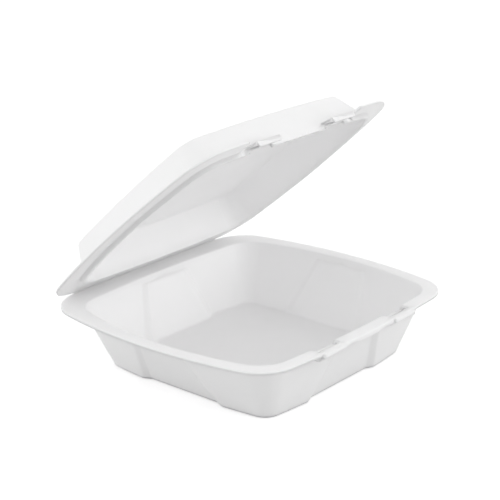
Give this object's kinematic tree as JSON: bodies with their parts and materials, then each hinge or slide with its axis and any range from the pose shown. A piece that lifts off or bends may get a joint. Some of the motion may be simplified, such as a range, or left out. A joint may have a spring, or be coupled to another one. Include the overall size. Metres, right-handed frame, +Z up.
{
  "type": "foam hinged lid container",
  "caption": "White foam takeaway container: a square tray with sloped panelled walls and a domed lid on a fold, standing open.",
  "frame": {"origin": "on the surface the tray stands on, under the middle of its floor", "axes": "+X along the fold, to the right seen from the front; -Y towards the front edge with the latch; +Z up"},
  "size_m": [0.24, 0.2246, 0.1942],
  "materials": {
    "foam": "soft satin skin of pressed polystyrene foam"
  },
  "bodies": {
    "tray": {"base_tray": "foam"},
    "lid": {"lid": "foam"}
  },
  "joints": [
    {"name": "lid_hinge", "type": "hinge", "parent": "tray", "child": "lid", "pos_m": [0, 0.114, 0.04935], "axis": [-1, 0, 0], "range_deg": [-40.4, 139.6]}
  ]
}
